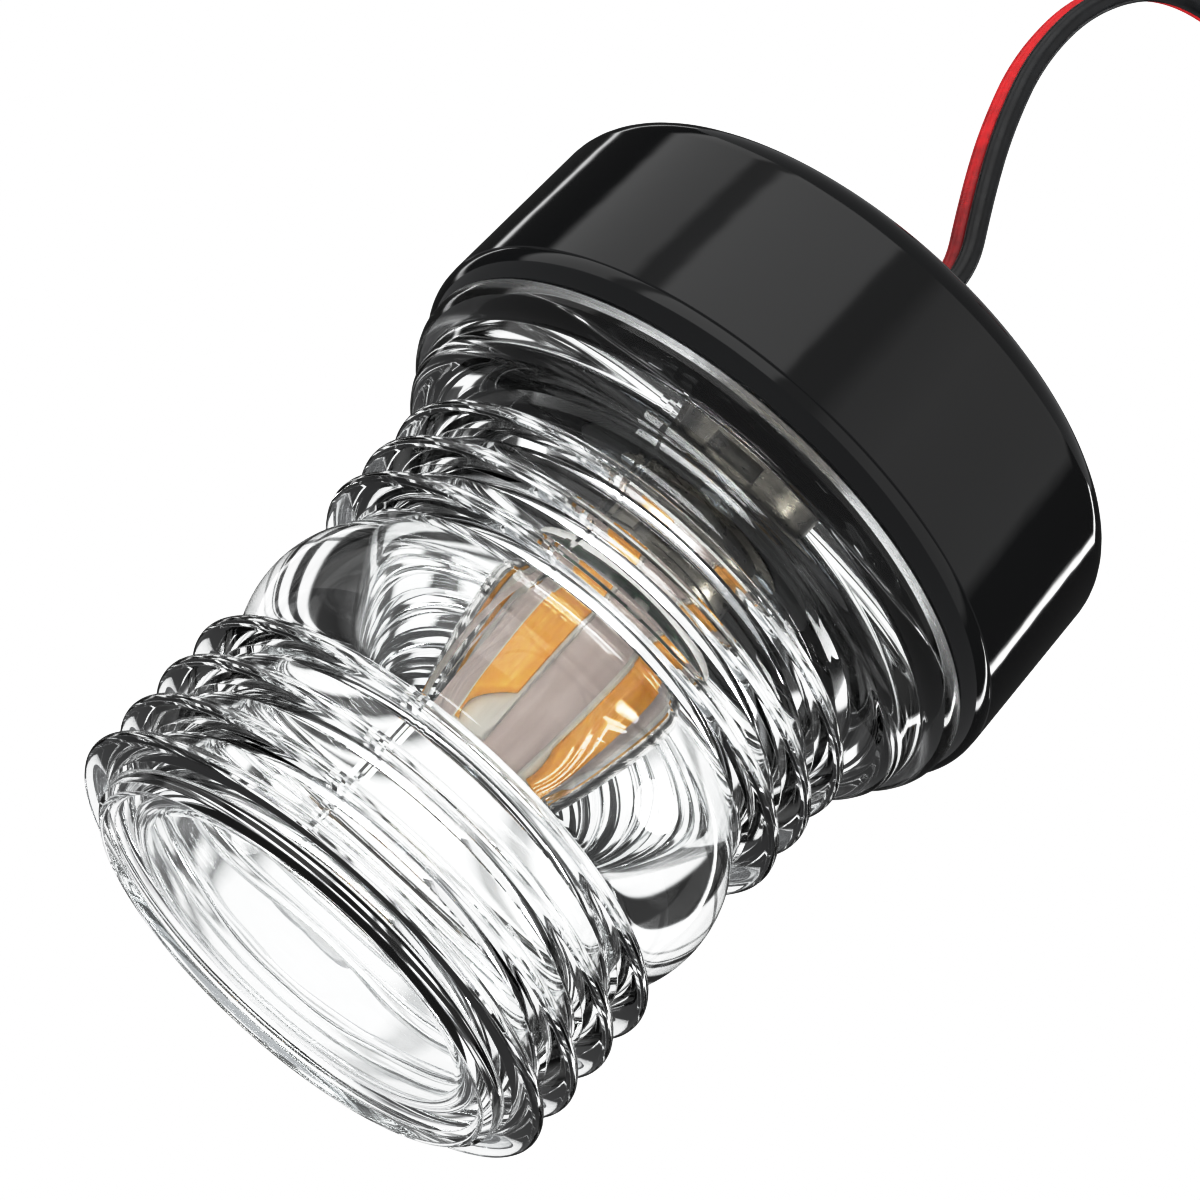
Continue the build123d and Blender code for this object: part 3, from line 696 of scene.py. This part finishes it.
# ---------------------------------------------------------------- surroundings
def panel_material(name, around_stops, height_stops, strength):
    """A glowing studio wall: its brightness over azimuth, (degrees, grey), times that over height, (m, grey).

    Azimuth 0 is the camera's side and it grows to the right, up to 360.
    """
    material = bpy.data.materials.new(name)
    material.use_nodes = True
    tree = material.node_tree
    tree.nodes.clear()
    place = add_node(tree, "ShaderNodeTexCoord").outputs["Object"]
    spun = add_node(tree, "ShaderNodeMapping", {"Vector": place}, {"Rotation": (0, 0, -pi / 2)})
    sweep = add_node(tree, "ShaderNodeTexGradient", {"Vector": spun.outputs["Vector"]},
                     gradient_type="RADIAL")
    height = add_node(tree, "ShaderNodeSeparateXYZ", {"Vector": place}).outputs["Z"]
    share = add_node(tree, "ShaderNodeMapRange", {"Value": height}, {"From Min": -2.0, "From Max": 2.0})
    columns = grey_ramp(tree, sweep.outputs["Fac"], [(d / 360, g) for d, g in around_stops])
    rows = grey_ramp(tree, share.outputs["Result"], [((z + 2) / 4, g) for z, g in height_stops])
    both = add_node(tree, "ShaderNodeMix", None, {"Factor": 1.0}, data_type="RGBA", blend_type="MULTIPLY")
    tree.links.new(columns, both.inputs["A"])
    tree.links.new(rows, both.inputs["B"])
    glow = add_node(tree, "ShaderNodeEmission", {"Color": both.outputs["Result"]}, {"Strength": strength})
    add_node(tree, "ShaderNodeOutputMaterial", {"Surface": glow.outputs["Emission"]})
    return material


def studio_wall(name, radius, low, high, material, seen_by):
    """A round wall of light about the object, out of the camera's sight and seen by one kind of ray."""
    bpy.ops.object.select_all(action="DESELECT")
    bpy.ops.mesh.primitive_cylinder_add(vertices=128, radius=radius, depth=high - low,
                                        end_fill_type="NOTHING", location=(0, 0, (low + high) / 2))
    wall = bpy.context.object
    wall.name = name
    bpy.ops.object.transform_apply(location=True, rotation=True, scale=True)
    wall.data.materials.append(material)
    for kind in ("camera", "diffuse", "glossy", "transmission", "shadow"):
        setattr(wall, "visible_" + kind, kind in seen_by)
    return wall


def panel(name, azimuth, elevation, distance, width, height, radiance):
    """A soft light panel that faces the object: azimuth right of the camera's side, then elevation."""
    light = bpy.data.lights.new(name, "AREA")
    light.shape = "RECTANGLE"
    light.size = width
    light.size_y = height
    light.energy = radiance * width * height * pi
    holder = bpy.data.objects.new(name, light)
    bpy.context.scene.collection.objects.link(holder)
    a, e = radians(azimuth), radians(elevation)
    back = Vector((sin(a) * cos(e), -cos(a) * cos(e), sin(e)))
    holder.location = Vector((0, 0, 0.045)) + back * distance
    holder.rotation_mode = "QUATERNION"
    holder.rotation_quaternion = back.to_track_quat("Z", "Y")
    holder.visible_camera = False
    return holder


def plain_glow(name, code, strength):
    """A plain glowing surface that can't be seen from behind, for the floor and the backdrop."""
    material = bpy.data.materials.new(name)
    material.use_nodes = True
    tree = material.node_tree
    tree.nodes.clear()
    side = add_node(tree, "ShaderNodeNewGeometry").outputs["Backfacing"]
    glow = add_node(tree, "ShaderNodeEmission", None, {"Color": linear(code), "Strength": strength})
    clear = add_node(tree, "ShaderNodeBsdfTransparent")
    sides = {0: side, 1: glow.outputs["Emission"], 2: clear.outputs["BSDF"]}
    mix = add_node(tree, "ShaderNodeMixShader", sides)
    add_node(tree, "ShaderNodeOutputMaterial", {"Surface": mix.outputs["Shader"]})
    return material


bpy.ops.object.select_all(action="DESELECT")
bpy.ops.mesh.primitive_plane_add(size=16.0, location=(0, 0, -0.6))
floor = bpy.context.object
floor.name = "floor"
floor.data.materials.append(plain_glow("white_floor", "#ffffff", 1.0))
floor.visible_glossy = False
floor.visible_transmission = False
even = [(-2.0, 1.0), (2.0, 1.0)]
backdrop_glow = panel_material("white_backdrop", [(0, 1.0), (180, 1.0)], even, 1.0)
studio_wall("backdrop", 7.5, -7.0, 9.0, backdrop_glow, ("camera",))

# What the glossy black parts mirror: a broad soft panel right of the camera, a fainter one left of it,
# and thin bright strips at the sides.
mirrored = [(0, 0.3), (11, 0.3), (13, 1.15), (61, 1.25), (64, 0.35), (72, 0.3), (76, 0.9), (109, 0.8)]
mirrored += [(113, 0.03), (139, 0.03), (141, 1.2), (143, 1.2), (145, 0.03), (232, 0.03), (233, 4.0)]
mirrored += [(237, 4.0), (238, 0.03), (270, 0.06), (277, 0.5), (330, 0.7), (350, 0.6), (358, 0.3)]
mirror_glow = panel_material("mirrored_panels", mirrored, even, 1.7)
studio_wall("mirrored_wall", 1.2, -1.2, 0.1, mirror_glow, ("glossy",))
# What shows through the clear parts: a white backdrop cut into strips, dark flags beside it, and softer
# light in front.
behind = [(0, 1.15), (60, 1.15), (100, 1.15), (104, 0.15), (118, 0.03), (140, 0.05), (143, 1.0)]
behind += [(151, 1.05), (152, 0.05), (159, 0.05), (161, 1.1), (169, 1.1), (170, 0.08), (173, 0.06)]
behind += [(173.6, 1.1), (174.4, 1.1), (175, 0.1), (176.6, 0.15), (177.2, 1.15), (182.8, 1.15)]
behind += [(183.4, 0.5), (186, 0.6), (187, 1.15), (208, 1.1), (210, 0.05), (236, 0.05), (240, 1.0)]
behind += [(256, 1.1), (262, 0.1), (288, 0.1), (292, 1.0)]
storeys = [(-2.0, 1.0), (0.13, 1.0), (0.14, 0.35), (0.2, 0.35), (0.21, 1.0), (0.8, 1.0), (0.84, 0.4)]
storeys += [(1.0, 0.4), (1.05, 1.0)]
see_through_glow = panel_material("see_through_panels", behind, storeys, 1.0)
studio_wall("see_through_wall", 1.25, -1.8, 1.4, see_through_glow, ("transmission",))
open_sides = [(0, 1.0), (180, 0.6)]
fill_glow = panel_material("fill_panels", open_sides, even, 1.0)
studio_wall("fill_wall", 1.3, -1.0, 1.4, fill_glow, ("diffuse",))

key = panel("key_panel", 20, 48, 0.9, 0.9, 0.5, 9.0)
key.visible_glossy = False
side_box = panel("left_side_box", -78, -8, 0.95, 0.5, 0.3, 12.0)
side_box.data.shape = "ELLIPSE"
side_box.visible_glossy = False

world = bpy.data.worlds.new("studio")
bpy.context.scene.world = world
world.use_nodes = True
sky = world.node_tree.nodes["Background"]
sky.inputs["Color"].default_value = linear("#f2f3f5")
sky.inputs["Strength"].default_value = 0.5

view = bpy.context.scene.view_settings
view.view_transform = "Standard"
view.use_curve_mapping = True
film = view.curve_mapping.curves[3]
film.points.new(0.22, 0.15)
film.points.new(0.72, 0.85)
view.curve_mapping.update()
